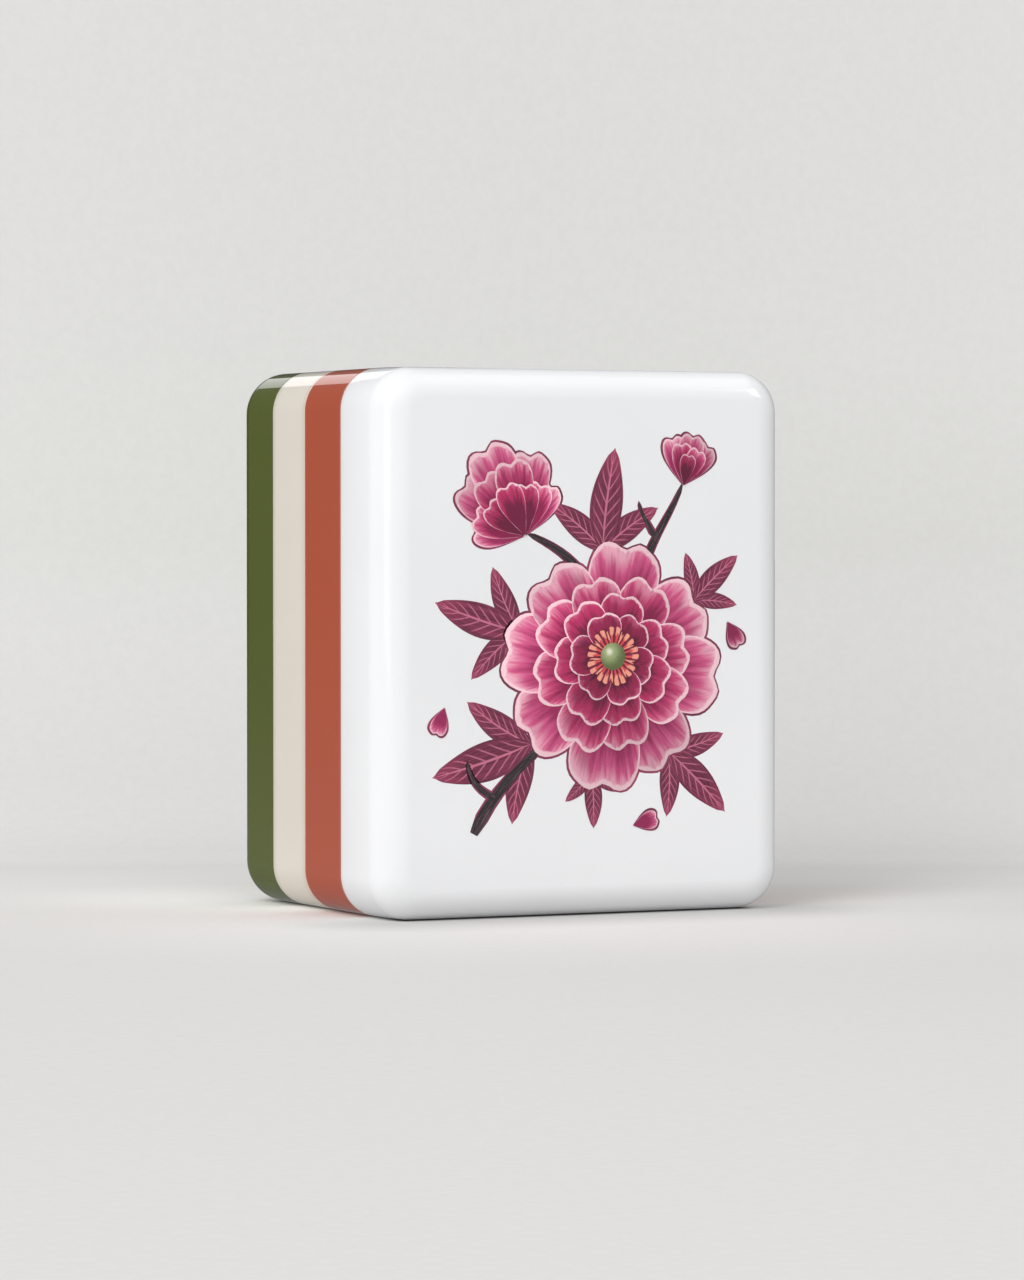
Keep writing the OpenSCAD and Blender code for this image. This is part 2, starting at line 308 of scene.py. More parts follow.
def draw_sides_in(plan, low, high):
    """Draws the sides, the top and the foot in, ever more steeply towards the face."""
    middle = Matrix.Translation(-(low + high) / 2)
    size = high - low
    reach = size.y - face_rim_r - seam_ease
    rings = [high.y - reach * (i + 1) / draw_steps for i in range(draw_steps)]
    for ring_y in rings:
        whole = plan.verts[:] + plan.edges[:] + plan.faces[:]
        bmesh.ops.bisect_plane(plan, geom=whole, plane_co=(0, ring_y, 0), plane_no=(0, 1, 0))
    for ring_y in (*rings, low.y):
        share = (high.y - ring_y) / reach
        drawn = min(share, 1) ** 2 + 2 * max(share - 1, 0)
        ring = [vert for vert in plan.verts if abs(vert.co.y - ring_y) < same_place]
        shrink = (1 - 2 * drawn * side_draw / size.x, 1, 1 - 2 * drawn * top_draw / size.z)
        bmesh.ops.scale(plan, vec=shrink, space=middle, verts=ring)


white_face = acrylic(
    "white_acrylic", white_acrylic, white_acrylic, rust_acrylic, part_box("face_slab"), 0.50 * mm, 0.14,
)
add_slab(
    "white_face", "face_slab", white_face, "white_acrylic",
    front_rim_r=face_rim_r, shape_sides=draw_sides_in,
)

# Films of clear cement between the slabs. Each is drawn in thin between two sheets, sets
# clear, and shows only as a hairline that takes the colours beside it.
cement_finish = {"Roughness": 0.12, "Waves": 0.02, "Scratches": 0.0}
cement_patch_scale = 900
cement_ior = 1.48


def clear_cement(name, colour):
    material, tree = new_material(name)
    finish = node(tree, "ShaderNodeGroup", cement_finish, node_tree=buffed)
    place = node(tree, "ShaderNodeTexCoord").outputs["Object"]
    patches = fade(tree, noise(tree, place, cement_patch_scale, 2.0), 0.35, 0.65, 0.88, 1.0)
    shader = node(tree, "ShaderNodeBsdfPrincipled", {
        "Base Color": toned(tree, colour, patches), "Roughness": finish.outputs["Roughness"],
        "IOR": cement_ior,
    })
    node(tree, "ShaderNodeOutputMaterial", {"Surface": shader.outputs[0]})
    return material


for bond, hairline in (
    ("back_bond", display(78, 86, 38)),
    ("middle_bond", display(198, 140, 120)),
    ("face_bond", display(214, 158, 142)),
):
    film = clear_cement(bond + "_cement", hairline)
    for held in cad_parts[bond].material_slots:
        held.material = film

# The picture on the face, a peony spray. It is printed in thin films of ink, one on the
# other, and the first is the dark one that lies under the rest as their shadow.
ink_t = 0.02 * mm
spray_h = 24.6 * mm
picture_middle = Vector((0, 16.9 * mm))
bloom_place = Vector((0.065, -0.095)) * spray_h
half_bloom_place = Vector((-0.165, 0.215)) * spray_h
bud_place = Vector((0.255, 0.335)) * spray_h
half_bloom_turn = -26
bud_turn = 12
bloom_r = 7.4 * mm
half_bloom_l = 6.0 * mm
bud_l = 3.3 * mm
fallen_l = 1.7 * mm
fallen_shares = ((0.120, -0.475), (-0.375, -0.185), (0.375, 0.010))
fallen_turns = (75, 200, 150)
ring_counts = (8, 8, 7, 6, 9)
ring_reach_shares = (1.00, 0.74, 0.55, 0.39, 0.24)
ring_halves = (31, 31, 35, 41, 27)
ring_turns = (8, 31, 12, 40, 5)
ring_lift = 0.020 * bloom_r
cup_counts = (5, 4, 3)
cup_spreads = (58, 44, 28)
bud_counts = (3, 2, 1)
bud_spreads = (26, 14, 0)
closed_half = 26
closed_reach_shares = (1.00, 0.80, 0.58)
petal_reach_shares = (1.00, 0.95, 0.98, 0.94, 1.00, 0.96, 0.99, 0.95, 0.97)
petal_turn_shares = (0.00, 0.06, -0.05, 0.04, -0.06, 0.05, 0.02, -0.04, 0.03)
notch_depth = 0.07
notch_half = 0.16
ripple_h = 0.010
ripple_turn = 630
petal_side = 0.985
petal_start = 0.05
grow_turn_share = 1.3
touch_step = 0.6180339
face_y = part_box("face_slab")[0].y


def petal_rim(across):
    """How far a petal reaches at each place across it, from -1 to 1."""
    roundness = (1 - abs(across) ** 3) ** 0.4
    notch = notch_depth * math.exp(-(across / notch_half) ** 2)
    ripple = ripple_h * math.sin(math.radians(ripple_turn * across))
    return roundness * (1 - notch + ripple)


def new_print():
    """An empty plan for one ink, with the layers that its paint reads."""
    plan = bmesh.new()
    plan.loops.layers.uv.new("brush")
    plan.faces.layers.float.new("touch")
    return plan


def ink_sheet(plan, outline, film, level, columns, rows):
    """Adds a closed sheet of ink. outline turns a place across and along it into one on the face."""
    touch = plan.faces.layers.float["touch"]
    front_y = face_y - (film + level) * ink_t
    back_y = face_y - film * ink_t
    grid = bmesh.ops.create_grid(
        plan, x_segments=columns, y_segments=rows, size=1, calc_uvs=True,
    )["verts"]
    for vert in grid:
        across, along = vert.co.x, (vert.co.y + 1) / 2
        spot = picture_middle + outline(across, along)
        vert.co = (spot.x, front_y, spot.y)
    faces = list({face for vert in grid for face in vert.link_faces})
    for face in faces:
        face[touch] = (len(plan.faces) * touch_step) % 1
    region = faces + list({edge for face in faces for edge in face.edges}) + grid
    backs = bmesh.ops.extrude_face_region(plan, geom=region, use_keep_orig=True)["geom"]
    for part in backs:
        if isinstance(part, bmesh.types.BMVert):
            part.co.y = back_y


def petal_shape(place, turn, reach, half, grow):
    """Outline of a petal that grows from its foot at place, turned clockwise from up."""
    half_turn = half + math.degrees(grow / reach) * grow_turn_share

    def outline(across, along):
        side = petal_side * math.sin(across * math.pi / 2)
        way = math.radians(turn + side * half_turn)
        length = (petal_start + (1 - petal_start) * along) * (reach * petal_rim(side) + grow)
        return place + length * Vector((math.sin(way), math.cos(way)))

    return outline


def ring_petals(ring, grow=0.0):
    """Outlines of one ring of the full bloom."""
    count = ring_counts[ring]
    lifted = bloom_place + Vector((0, ring * ring_lift))
    for i in range(count):
        turn = ring_turns[ring] + 360 / count * (i + petal_turn_shares[i])
        reach = bloom_r * ring_reach_shares[ring] * petal_reach_shares[i]
        yield petal_shape(lifted, turn, reach, ring_halves[ring], grow)


def fan_petals(place, facing, count, spread, length, half, grow):
    """Outlines of petals that fan to both sides of one way, the outer ones first."""
    step = 2 * spread / (count - 1) if count > 1 else 0
    order = sorted(range(count), key=lambda i: -abs(i - (count - 1) / 2))
    for i in order:
        turn = -spread + step * (i + petal_turn_shares[i])
        reach = length * petal_reach_shares[i] * math.cos(math.radians(turn)) ** 0.9
        yield petal_shape(place, facing + turn, reach, half, grow)


def closed_flower_petals(film, grow=0.0):
    """Outlines of one film of the half-open bloom and of the bud."""
    for place, facing, counts, spreads, length in (
        (half_bloom_place, half_bloom_turn, cup_counts, cup_spreads, half_bloom_l),
        (bud_place, bud_turn, bud_counts, bud_spreads, bud_l),
    ):
        reach = length * closed_reach_shares[film]
        yield from fan_petals(place, facing, counts[film], spreads[film], reach, closed_half, grow)


def fallen_petals(grow=0.0):
    for share, turn in zip(fallen_shares, fallen_turns):
        yield from fan_petals(Vector(share) * spray_h, turn, 1, 0, fallen_l, ring_halves[0], grow)


def fill_print(film, outlines, columns=30, rows=10, thickness=1.0):
    """The plan of one ink, with a sheet for each outline and each a hair above the last."""
    plan = new_print()
    outlines = list(outlines)
    for i, outline in enumerate(outlines):
        ink_sheet(plan, outline, film, thickness * (i + 1) / len(outlines), columns, rows)
    bmesh.ops.recalc_face_normals(plan, faces=plan.faces)
    return plan


blunt_end = 0.06
blunt_start = 0.01
sharp_end = 0.08
last_along = 0.994
look_ahead = 0.005


def on_curve(curve, along):
    back = 1 - along
    shares = (back ** 3, 3 * back ** 2 * along, 3 * back * along ** 2, along ** 3)
    return sum((share * point for share, point in zip(shares, curve)), Vector((0, 0)))


def stroke_shape(curve, width, swell):
    """Outline of a brush stroke along a curve, with the end it starts from round."""

    def outline(across, along):
        along = min(along, last_along)
        ahead = on_curve(curve, along + look_ahead) - on_curve(curve, along)
        beside = Vector((ahead.y, -ahead.x)).normalized()
        closing = min(1, (1 - along) / sharp_end)
        closing *= math.sqrt(1 - max(0, 1 - (along + blunt_start) / blunt_end) ** 2)
        return on_curve(curve, along) + beside * across * swell(along) * closing * width / 2

    return outline


twig_shares = (
    ((-0.300, -0.485), (-0.230, -0.350), (-0.160, -0.330), (-0.030, -0.190)),
    ((0.020, 0.060), (-0.010, 0.150), (-0.080, 0.190), (-0.168, 0.225)),
    ((0.140, 0.080), (0.150, 0.200), (0.220, 0.250), (0.258, 0.350)),
    ((-0.245, -0.402), (-0.290, -0.380), (-0.310, -0.360), (-0.318, -0.310)),
    ((0.178, 0.215), (0.160, 0.250), (0.140, 0.265), (0.136, 0.300)),
)
twig_w_shares = (1, 0.8, 0.7, 0.55, 0.45)
branch_w = 0.7 * mm


def twig_swell(along):
    return (1 - along) ** 0.35


def twig_strokes(grow=0.0):
    for shares, width_share in zip(twig_shares, twig_w_shares):
        curve = [Vector(share) * spray_h for share in shares]
        yield stroke_shape(curve, branch_w * width_share + 2 * grow, twig_swell)


def off_middle(tree, value):
    """How far a value from 0 to 1 is above its middle."""
    return maths(tree, "SUBTRACT", value, 0.5)


dot_scale = 4200
dot_h = 0.004 * mm
dry_patch_scale = 900
satin = 0.22
satin_span = 0.14


def print_grain():
    """Node group: the fine dots and dry patches of a printed film, and its satin gloss."""
    group, given, result = new_group(
        "print_grain", {"Dryness": "Float"}, {"Tone": "Float", "Roughness": "Float", "Normal": "Vector"},
    )
    place = node(group, "ShaderNodeTexCoord").outputs["Object"]
    dots = noise(group, place, dot_scale, 2.0, 0.6)
    dry = noise(group, place, dry_patch_scale, 3.0, 0.55)
    speckle = maths(group, "MULTIPLY", maths(group, "ADD", dots, dry), 0.5)
    span = maths(group, "MULTIPLY", off_middle(group, speckle), given.outputs["Dryness"])
    group.links.new(maths(group, "ADD", span, 1.0), result.inputs["Tone"])
    group.links.new(maths(group, "MULTIPLY_ADD", dry, satin_span, satin), result.inputs["Roughness"])
    bump = node(group, "ShaderNodeBump", {"Height": dots, "Strength": 0.35, "Distance": dot_h})
    group.links.new(bump.outputs[0], result.inputs["Normal"])
    return group


touch_spread = 37.0


def brush_streaks():
    """Node group: the hair marks that a brush leaves along its stroke."""
    group, given, result = new_group(
        "brush_streaks",
        {"Hairs": "Float", "Length": "Float"},
        {"Streak": "Float", "Across": "Float", "Along": "Float", "Touch": "Float"},
    )
    spot = node(group, "ShaderNodeUVMap", uv_map="brush").outputs[0]
    parts = node(group, "ShaderNodeSeparateXYZ", {0: spot})
    touch = node(group, "ShaderNodeAttribute", attribute_name="touch").outputs["Fac"]
    hairs = node(group, "ShaderNodeCombineXYZ", {
        0: maths(group, "MULTIPLY", parts.outputs[0], given.outputs["Hairs"]),
        1: maths(group, "MULTIPLY", parts.outputs[1], given.outputs["Length"]),
        2: maths(group, "MULTIPLY", touch, touch_spread),
    })
    group.links.new(noise(group, hairs.outputs[0], 1.0, 3.0, 0.6), result.inputs["Streak"])
    across = maths(group, "ABSOLUTE", maths(group, "MULTIPLY_ADD", parts.outputs[0], 2.0, -1.0))
    group.links.new(across, result.inputs["Across"])
    group.links.new(parts.outputs[1], result.inputs["Along"])
    group.links.new(touch, result.inputs["Touch"])
    return group


grain = print_grain()
streaks = brush_streaks()
ink_ior = 1.47
wash_scale = 520


def finish_ink(tree, colour, dryness):
    """The shader of an ink film under the colour that its drawing has."""
    printed = node(tree, "ShaderNodeGroup", {"Dryness": dryness}, node_tree=grain)
    shader = node(tree, "ShaderNodeBsdfPrincipled", {
        "Base Color": toned(tree, colour, printed.outputs["Tone"]),
        "Roughness": printed.outputs["Roughness"], "Normal": printed.outputs["Normal"], "IOR": ink_ior,
    })
    node(tree, "ShaderNodeOutputMaterial", {"Surface": shader.outputs[0]})


def shadow_ink():
    material, tree = new_material("plum_shadow_ink")
    place = node(tree, "ShaderNodeTexCoord").outputs["Object"]
    wash = fade(tree, noise(tree, place, wash_scale, 3.0), 0.35, 0.65)
    finish_ink(tree, blend(tree, wash, display(150, 62, 94), display(112, 44, 72)), 0.5)
    return material


shadow_w = 0.12 * mm
shadow_outlines = [
    *twig_strokes(shadow_w), *ring_petals(0, shadow_w),
    *closed_flower_petals(0, shadow_w), *fallen_petals(shadow_w),
]
add_piece("petal_shadows", fill_print(0, shadow_outlines), shadow_ink(), "plum_print", "plum_ink")

# Leaves, in threes, in the same plum ink. Each leaflet is one loaded stroke that swells
# and closes, with its veins left paler.
leaf_l = 6.6 * mm
leaf_w = 2.3 * mm
leaf_end = 0.08
leaf_foot_shares = (
    (-0.150, -0.275), (0.215, -0.300), (-0.180, -0.010), (0.285, 0.060), (0.040, 0.180), (0.010, -0.345),
)
leaf_turns = (-112, 128, -78, 42, 2, 172)
leaf_size_shares = (1.00, 0.80, 0.86, 0.60, 0.92, 0.50)
leaflet_turns = (-42, 42, 0)
leaflet_size_shares = (0.72, 0.72, 1.00)
leaflet_bend_shares = (-0.20, 0.20, 0.10)
side_vein_count = 8.0
side_vein_slant = -1.9
vein_strength = 0.8


def leaf_swell(along):
    return leaf_end + (1 - leaf_end) * math.sin(math.radians(180 * along ** 0.8)) ** 0.9


def leaflets():
    for foot, leaf_turn, leaf_size in zip(leaf_foot_shares, leaf_turns, leaf_size_shares):
        for turn, size, bend in zip(leaflet_turns, leaflet_size_shares, leaflet_bend_shares):
            length = leaf_l * leaf_size * size
            turned = Matrix.Rotation(-math.radians(leaf_turn + turn), 2)
            guides = ((0, 0), (0, 0.35), (bend / 2, 0.70), (bend, 1))
            curve = [Vector(foot) * spray_h + turned @ (Vector(guide) * length) for guide in guides]
            yield stroke_shape(curve, leaf_w * leaf_size * size, leaf_swell)


def leaf_ink():
    material, tree = new_material("plum_leaf_ink")
    brush = node(tree, "ShaderNodeGroup", {"Hairs": 26.0, "Length": 2.0}, node_tree=streaks)
    across, along = brush.outputs["Across"], brush.outputs["Along"]
    load = fade(tree, brush.outputs["Streak"], 0.35, 0.65)
    body = blend(tree, load, display(92, 34, 56), display(132, 52, 82))
    body = blend(tree, fade(tree, along, 0.55, 1.0, 0.0, 0.6), body, display(168, 66, 100))
    midrib = fade(tree, across, 0.03, 0.09, 1.0, 0.0)
    slant = maths(tree, "MULTIPLY", along, side_vein_count)
    slant = maths(tree, "MULTIPLY_ADD", across, side_vein_slant, slant)
    vein = maths(tree, "ABSOLUTE", off_middle(tree, maths(tree, "FRACT", slant)))
    vein = fade(tree, vein, 0.05, 0.14, 0.75, 0.0)
    vein = maths(tree, "MULTIPLY", vein, fade(tree, across, 0.55, 0.95, 1.0, 0.0))
    veins = maths(tree, "MULTIPLY", maths(tree, "MAXIMUM", midrib, vein), vein_strength)
    body = blend(tree, veins, body, display(214, 122, 152))
    finish_ink(tree, body, 0.45)
    return material


leaf_print = fill_print(0, leaflets(), columns=12, rows=30)
add_piece("leaves", leaf_print, leaf_ink(), "plum_print", "plum_ink")

# Branch and twigs, in black ink with dry, broken brush marks. They are drawn in thinly, so
# that the petals printed in the same film lie over them.
twig_film = 0.05


def twig_ink():
    material, tree = new_material("black_twig_ink")
    brush = node(tree, "ShaderNodeGroup", {"Hairs": 9.0, "Length": 5.0}, node_tree=streaks)
    dry = fade(tree, brush.outputs["Streak"], 0.50, 0.66)
    finish_ink(tree, blend(tree, dry, display(40, 36, 38), display(104, 78, 86)), 0.4)
    return material


twig_print = fill_print(1, twig_strokes(), columns=8, rows=48, thickness=twig_film)
add_piece("twigs", twig_print, twig_ink(), "black_print", "black_ink")

# Petals of the blooms, the bud and the fallen ones, in four pinks. Each is one stroke from
# a loaded brush, dark where it comes out from under the next, with a pale trim along its
# rim, and the inner ones are printed on the outer ones.
trim_w = 0.055
side_trim_share = 0.30
trim_drag = 0.10
hair_drag = 0.55
fold_drag = 0.45
trim_colour = display(246, 210, 217)


def distance(tree, place, spot):
    ends = {0: place, 1: spot}
    return node(tree, "ShaderNodeVectorMath", ends, operation="DISTANCE").outputs["Value"]


def petal_ink(name, foot, middle, rim_colour, foot_end, rim_start):
    """Ink that runs from foot to rim in three colours, in folds and hair marks, with its trim."""
    material, tree = new_material(name)
    fine = node(tree, "ShaderNodeGroup", {"Hairs": 26.0, "Length": 1.6}, node_tree=streaks)
    folds = node(tree, "ShaderNodeGroup", {"Hairs": 6.0, "Length": 0.7}, node_tree=streaks)
    across, along, streak = fine.outputs["Across"], fine.outputs["Along"], fine.outputs["Streak"]
    drag = off_middle(tree, streak)
    fold_streak = folds.outputs["Streak"]
    carried = maths(tree, "MULTIPLY_ADD", drag, hair_drag, along)
    carried = maths(tree, "MULTIPLY_ADD", off_middle(tree, fold_streak), fold_drag, carried)
    colour = blend(tree, fade(tree, carried, foot_end - 0.16, foot_end + 0.10), foot, middle)
    colour = blend(tree, fade(tree, carried, rim_start - 0.10, rim_start + 0.12), colour, rim_colour)
    fold = fade(tree, fold_streak, 0.50, 0.64, 0.0, 0.55)
    colour = blend(tree, maths(tree, "MULTIPLY", fold, fade(tree, along, 0.98, 0.80)), colour, foot)
    hairs = fade(tree, streak, 0.56, 0.70, 0.0, 0.30)
    colour = blend(tree, hairs, colour, foot)
    from_rim = maths(tree, "SUBTRACT", 1.0, along)
    from_side = maths(tree, "MULTIPLY", maths(tree, "SUBTRACT", 1.0, across), side_trim_share)
    inside = maths(tree, "MINIMUM", from_rim, from_side)
    inside = maths(tree, "MULTIPLY_ADD", drag, trim_drag, inside)
    colour = blend(tree, fade(tree, inside, trim_w * 0.5, trim_w, 0.85, 0.0), colour, trim_colour)
    own_tone = fade(tree, fine.outputs["Touch"], 0.0, 1.0, 0.84, 1.08)
    place = node(tree, "ShaderNodeTexCoord").outputs["Object"]
    lit = (bloom_place.x - 0.6 * bloom_r, face_y, picture_middle.y + bloom_place.y + 0.7 * bloom_r)
    light = fade(tree, distance(tree, place, lit), 0.3 * bloom_r, 1.8 * bloom_r, 1.10, 0.88)
    finish_ink(tree, toned(tree, colour, maths(tree, "MULTIPLY", own_tone, light)), 0.28)
    return material


blush_petals = fill_print(1, [*ring_petals(0), *closed_flower_petals(0), *fallen_petals()])
blush_ink = petal_ink(
    "blush_petal_ink", display(152, 38, 88), display(208, 86, 134), display(241, 178, 196), 0.76, 0.90,
)
add_piece("guard_petals", blush_petals, blush_ink, "blush_print", "blush_ink")

rose_petals = fill_print(2, [*ring_petals(1), *closed_flower_petals(1)])
rose_ink = petal_ink(
    "rose_petal_ink", display(134, 26, 72), display(196, 64, 114), display(234, 150, 176), 0.78, 0.92,
)
add_piece("outer_petals", rose_petals, rose_ink, "rose_print", "rose_ink")

magenta_petals = fill_print(3, [*ring_petals(2), *closed_flower_petals(2)])
magenta_ink = petal_ink(
    "magenta_petal_ink", display(108, 20, 58), display(176, 42, 92), display(214, 104, 144), 0.74, 0.94,
)
add_piece("middle_petals", magenta_petals, magenta_ink, "magenta_print", "magenta_ink")

crimson_petals = fill_print(4, ring_petals(3))
crimson_ink = petal_ink(
    "crimson_petal_ink", display(84, 16, 46), display(146, 30, 74), display(196, 82, 124), 0.66, 0.92,
)
add_piece("inner_petals", crimson_petals, crimson_ink, "crimson_print", "crimson_ink")

# Ring of stamens in coral ink, thin strokes with pale ends, on a dark wash round the seed
# head.
threads = 2.5
thread_bend = 0.12
thread_end_spread = 0.6


def stamen_ink():
    material, tree = new_material("coral_stamen_ink")
    brush = node(tree, "ShaderNodeGroup", {"Hairs": 9.0, "Length": 1.2}, node_tree=streaks)
    across, along, streak = brush.outputs["Across"], brush.outputs["Along"], brush.outputs["Streak"]
    drag = off_middle(tree, streak)
    stripe = maths(tree, "MULTIPLY", maths(tree, "MULTIPLY_ADD", drag, thread_bend, across), threads)
    stripe = maths(tree, "ABSOLUTE", off_middle(tree, maths(tree, "FRACT", stripe)))
    reach = maths(tree, "MULTIPLY_ADD", drag, thread_end_spread, along)
    thread = fade(tree, stripe, 0.12, 0.30, 1.0, 0.0)
    thread = maths(tree, "MULTIPLY", thread, fade(tree, reach, 0.90, 1.0, 1.0, 0.0))
    knob = fade(tree, stripe, 0.26, 0.40, 1.0, 0.0)
    knob = maths(tree, "MULTIPLY", knob, fade(tree, reach, 0.66, 0.78))
    colour = blend(tree, thread, display(118, 24, 58), display(217, 80, 79))
    colour = blend(tree, knob, colour, display(242, 158, 136))
    finish_ink(tree, colour, 0.28)
    return material


coral_petals = fill_print(5, ring_petals(4), columns=16, rows=8)
add_piece("stamens", coral_petals, stamen_ink(), "coral_print", "coral_ink")

# Seed head in olive ink, printed last. It is a round dab in the middle of the full bloom,
# with a pearly light on its upper left.
seed_r = 0.8 * mm
seed_start = 0.02
seed_closing = 0.999
seed_place = picture_middle + bloom_place + Vector((0, 4 * ring_lift))


def seed_ink():
    material, tree = new_material("olive_seed_ink")
    place = node(tree, "ShaderNodeTexCoord").outputs["Object"]
    lit = (seed_place.x - 0.3 * seed_r, face_y, seed_place.y + 0.35 * seed_r)
    away = distance(tree, place, lit)
    shade = fade(tree, away, 0.15 * seed_r, 1.2 * seed_r)
    colour = blend(tree, shade, display(170, 182, 132), display(96, 108, 66))
    pearl = fade(tree, away, 0.12 * seed_r, 0.42 * seed_r, 0.85, 0.0)
    colour = blend(tree, pearl, colour, display(240, 242, 222))
    finish_ink(tree, colour, 0.3)
    return material


def seed_dab(across, along):
    """Outline of the seed head, once round its middle."""
    way = math.pi * (1 + across) * seed_closing
    away = seed_r * (seed_start + (1 - seed_start) * along)
    return seed_place - picture_middle + away * Vector((-math.sin(way), -math.cos(way)))


seed_print = fill_print(6, [seed_dab], columns=48, rows=6)
add_piece("seed_head", seed_print, seed_ink(), "olive_print", "olive_ink")

# Camera at the photograph's place, a little above the middle of the tile and turned to
# its left, with a long lens.
camera_turn = math.radians(-26)
camera_rise = math.radians(1.34)
camera_reach = 304.1 * mm
camera_shift = Vector((-0.16, 0.0896)) * mm
lens_l = 141.98
aim = Vector((0, 0, 16 * mm))
back = Vector((
    math.sin(camera_turn) * math.cos(camera_rise),
    -math.cos(camera_turn) * math.cos(camera_rise),
    math.sin(camera_rise),
))
right = Vector((math.cos(camera_turn), math.sin(camera_turn), 0))
above = back.cross(right)
camera_data = bpy.data.cameras.new("camera")
camera_data.lens = lens_l
camera_data.sensor_width = 36
camera_data.sensor_fit = "AUTO"
camera_data.clip_start = 0.01
camera = bpy.data.objects.new("camera", camera_data)
turned = Matrix((right, above, back)).transposed().to_4x4()
camera.matrix_world = Matrix.Translation(
    aim + back * camera_reach - right * camera_shift.x - above * camera_shift.y
) @ turned
bpy.context.scene.collection.objects.link(camera)
bpy.context.scene.camera = camera
bpy.context.scene.view_settings.view_transform = "Standard"

# Floor and sweep of pale seamless paper. The sweep curves up close behind the tile. It is
# there for the camera alone, and only from inside, so that it hides nothing from behind.
fibre_scale = 1400
# Painted light: the paper is painted lighter to the left of the tile than to its right.
paper_sides = (-50 * mm, 40 * mm)
side_light_tones = (1.075, 1.03)
# Pools of painted light round the tile.
# Each patch's middle, the radii between which it fades out, and its tone in the middle.
painted_light_patches = (
    ((0, 0, 0), 16 * mm, 48 * mm, 1.09),
    ((-15 * mm, 12 * mm, 0), 0, 15 * mm, 1.16),
    ((26 * mm, -6 * mm, 0), 2 * mm, 12 * mm, 1.05),
    ((38 * mm, 5 * mm, 0), 0, 16 * mm, 1.06),
    ((-26 * mm, 27 * mm, 0), 0, 36 * mm, 1.09),
)
# Painted shade on the paper in front of the tile's foot, and a painted contact shadow round it.
foot_half_w = 11 * mm
foot_half_d = 8.5 * mm
foot_middle_y = -0.33 * mm
foot_shade = 0.29
foot_shade_near = 0.5 * mm
foot_shade_far = 10 * mm
foot_shade_depths = (-11 * mm, -4 * mm)
contact_shadow_w = 0.9 * mm
contact_shadow_tone = 0.15


def paper(name, colours, heights):
    """Pale paper, with painted light round the tile and painted shade where it stands on it."""
    material, tree = new_material(name)
    place = node(tree, "ShaderNodeTexCoord").outputs["Object"]
    parts = node(tree, "ShaderNodeSeparateXYZ", {0: place}).outputs
    colour = colours[0]
    for i in range(1, len(colours)):
        colour = blend(tree, fade(tree, parts["Z"], heights[i - 1], heights[i]), colour, colours[i])
    fibres = fade(tree, noise(tree, place, fibre_scale, 4.0, 0.7), 0.3, 0.7, 0.985, 1.015)
    tone = maths(tree, "MULTIPLY", fibres, fade(tree, parts["X"], *paper_sides, *side_light_tones))
    for spot, start, end, lift in painted_light_patches:
        patch = fade(tree, distance(tree, place, spot), start, end, lift, 1.0)
        tone = maths(tree, "MULTIPLY", tone, patch)
    # Painted shade in front of the foot, and a painted contact shadow all round it.
    depth = maths(tree, "SUBTRACT", parts["Y"], foot_middle_y)
    gaps = [
        maths(tree, "MAXIMUM", maths(tree, "SUBTRACT", maths(tree, "ABSOLUTE", way), half), 0.0)
        for way, half in ((parts["X"], foot_half_w), (depth, foot_half_d))
    ]
    squares = [maths(tree, "MULTIPLY", part, part) for part in gaps]
    gap = maths(tree, "SQRT", maths(tree, "ADD", *squares))
    shade = fade(tree, gap, foot_shade_near, foot_shade_far, foot_shade, 0.0)
    shade = maths(tree, "MULTIPLY", shade, fade(tree, parts["Y"], *foot_shade_depths, 1.0, 0.0))
    tone = maths(tree, "MULTIPLY", tone, maths(tree, "SUBTRACT", 1.0, shade))
    tone = maths(tree, "MULTIPLY", tone, fade(tree, gap, 0.0, contact_shadow_w, contact_shadow_tone, 1.0))
    front = node(tree, "ShaderNodeBsdfDiffuse", {"Color": toned(tree, colour, tone)}).outputs[0]
    clear = node(tree, "ShaderNodeBsdfTransparent").outputs[0]
    behind = node(tree, "ShaderNodeNewGeometry").outputs["Backfacing"]
    seen = node(tree, "ShaderNodeMixShader", {0: behind, 1: front, 2: clear}).outputs[0]
    node(tree, "ShaderNodeOutputMaterial", {"Surface": seen})
    return material


def add_stage(name, plan, material):
    piece = add_object(name, plan, material)
    return piece


floor_colour = display(218, 217, 215)
floor_gap = 0.02 * mm
floor_plan = bmesh.new()
bmesh.ops.create_grid(floor_plan, x_segments=1, y_segments=1, size=2)
bmesh.ops.translate(floor_plan, verts=floor_plan.verts, vec=(0, 0, -floor_gap))
floor = add_stage("floor", floor_plan, paper("floor_paper", [floor_colour], []))
floor.visible_glossy = False

sweep_gap = 35 * mm
sweep_bend = 22 * mm
sweep_r = 300 * mm
sweep_h = 600 * mm
sweep_bend_steps = 24
sweep_turn_steps = 128
sweep_plan = bmesh.new()
foot = sweep_plan.verts.new((sweep_r, 0, 0))
curve = bmesh.ops.spin(
    sweep_plan, geom=[foot], cent=(sweep_r, 0, sweep_bend), axis=(0, -1, 0), angle=math.pi / 2,
    steps=sweep_bend_steps, use_merge=False,
)["geom_last"]
top = [part for part in curve if isinstance(part, bmesh.types.BMVert)]
raised = bmesh.ops.extrude_vert_indiv(sweep_plan, verts=top)["verts"]
bmesh.ops.translate(sweep_plan, verts=raised, vec=(0, 0, sweep_h))
bmesh.ops.spin(
    sweep_plan, geom=sweep_plan.verts[:] + sweep_plan.edges[:], cent=(0, 0, 0), axis=(0, 0, 1),
    angle=math.tau, steps=sweep_turn_steps, use_merge=True,
)
flat_back = Vector((back.x, back.y, 0)).normalized()
bmesh.ops.translate(sweep_plan, verts=sweep_plan.verts, vec=flat_back * (sweep_r - sweep_gap))
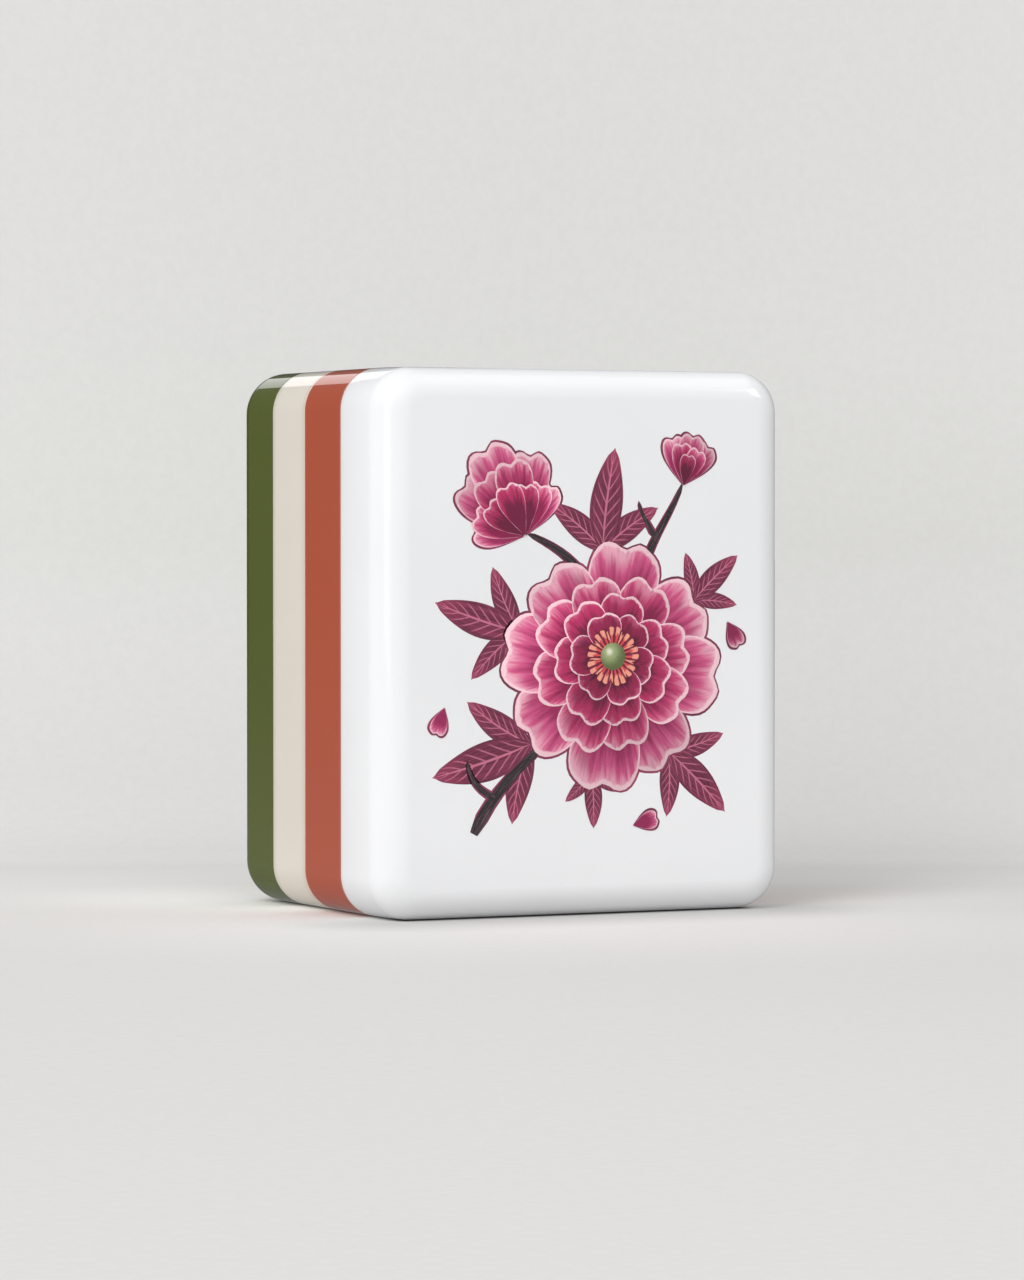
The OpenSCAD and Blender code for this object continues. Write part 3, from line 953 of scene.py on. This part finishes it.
for face in sweep_plan.faces:
    face.smooth = True
    inward = flat_back * (sweep_r - sweep_gap) - face.calc_center_median()
    if face.normal.dot(inward) + face.normal.z < 0:
        face.normal_flip()
# Painted shade: the sweep is darker low in its curve, where it meets the floor.
sweep_colours_and_shade = [
    floor_colour, display(214, 213, 212), display(210, 209, 208),
    display(219, 219, 217), display(216, 215, 214),
]
sweep_heights = [0.05 * mm, 0.8 * mm, 6 * mm, 24 * mm, 60 * mm]
sweep = add_stage("sweep", sweep_plan, paper("sweep_paper", sweep_colours_and_shade, sweep_heights))
sweep.visible_diffuse = False
sweep.visible_glossy = False
sweep.visible_shadow = False


# Studio light: softboxes round the tile, in a room that is pale to the front left and dim
# behind. A softbox has its level against the white of the picture.
def way_to(turn, rise):
    """The way from the tile that is so many degrees right of straight in front, and up."""
    turn, rise = math.radians(turn), math.radians(rise)
    return Vector((math.sin(turn) * math.cos(rise), -math.cos(turn) * math.cos(rise), math.sin(rise)))


def softbox(name, turn, rise, width, height, level, reach=0.6, roll=0):
    """Aimed at the tile, with its width and height in degrees as the tile sees them."""
    way = way_to(turn, rise)
    lamp = bpy.data.lights.new(name, "AREA")
    lamp.shape = "RECTANGLE"
    lamp.size = 2 * reach * math.tan(math.radians(width / 2))
    lamp.size_y = 2 * reach * math.tan(math.radians(height / 2))
    lamp.energy = level * math.pi * lamp.size * lamp.size_y
    light = bpy.data.objects.new(name, lamp)
    facing = (-way).to_track_quat("-Z", "Y").to_matrix().to_4x4()
    rolled = Matrix.Rotation(math.radians(roll), 4, "Z")
    light.matrix_world = Matrix.Translation(aim + way * reach) @ facing @ rolled
    light.visible_camera = False
    bpy.context.scene.collection.objects.link(light)
    return light


softbox("key_softbox", -57, 43, 24, 20, 4.2)
softbox("side_strip", -58, 18.0, 22, 40, 1.3, roll=-4.5)
window = softbox("front_window", 52, 31, 24, 20, 3.2)
window.data.use_shadow = False
table_glow = softbox("table_glow", -8, -80, 30, 30, 0.7)
table_glow.data.use_shadow = False
table_glow.visible_glossy = False
softbox("back_strip", 176, 27, 16, 14, 1.3)
softbox("rim_strip", 146.5, 9, 15, 18, 0.7)
panel_place = Vector((210, -120)) * mm
top_panel = softbox("top_panel", 0, 90, 25, 48, 0.75, 0.40)
top_panel.location.x = panel_place.x
top_panel.location.y = panel_place.y

table_level = 0.24
wall_level = 0.045
# Each wall's turn and rise, the cosines where its light starts and is full, and its level.
pale_walls = (
    (-66, 5, -0.1, 0.8, 0.58),
    (-90, 5, 0.25, 0.95, 0.36),
    (0, 10, 0.2, 0.95, 0.17),
    (50, 20, 0.3, 0.9, 0.23),
    (0, 90, 0.0, 1.0, 0.34),
)
world = bpy.data.worlds.new("room")
world.use_nodes = True
room = world.node_tree
room.nodes.clear()
way = node(room, "ShaderNodeTexCoord").outputs["Generated"]
height = node(room, "ShaderNodeSeparateXYZ", {0: way}).outputs["Z"]
glow = fade(room, height, -0.09, -0.01, table_level, wall_level)
for turn, rise, start, end, level in pale_walls:
    facing = {0: way, 1: way_to(turn, rise)}
    near = node(room, "ShaderNodeVectorMath", facing, operation="DOT_PRODUCT").outputs["Value"]
    glow = maths(room, "ADD", glow, fade(room, near, start, end, 0.0, level))
walls = node(room, "ShaderNodeBackground", {"Color": (1, 1, 1, 1), "Strength": glow})
node(room, "ShaderNodeOutputWorld", {"Surface": walls.outputs[0]})
bpy.context.scene.world = world
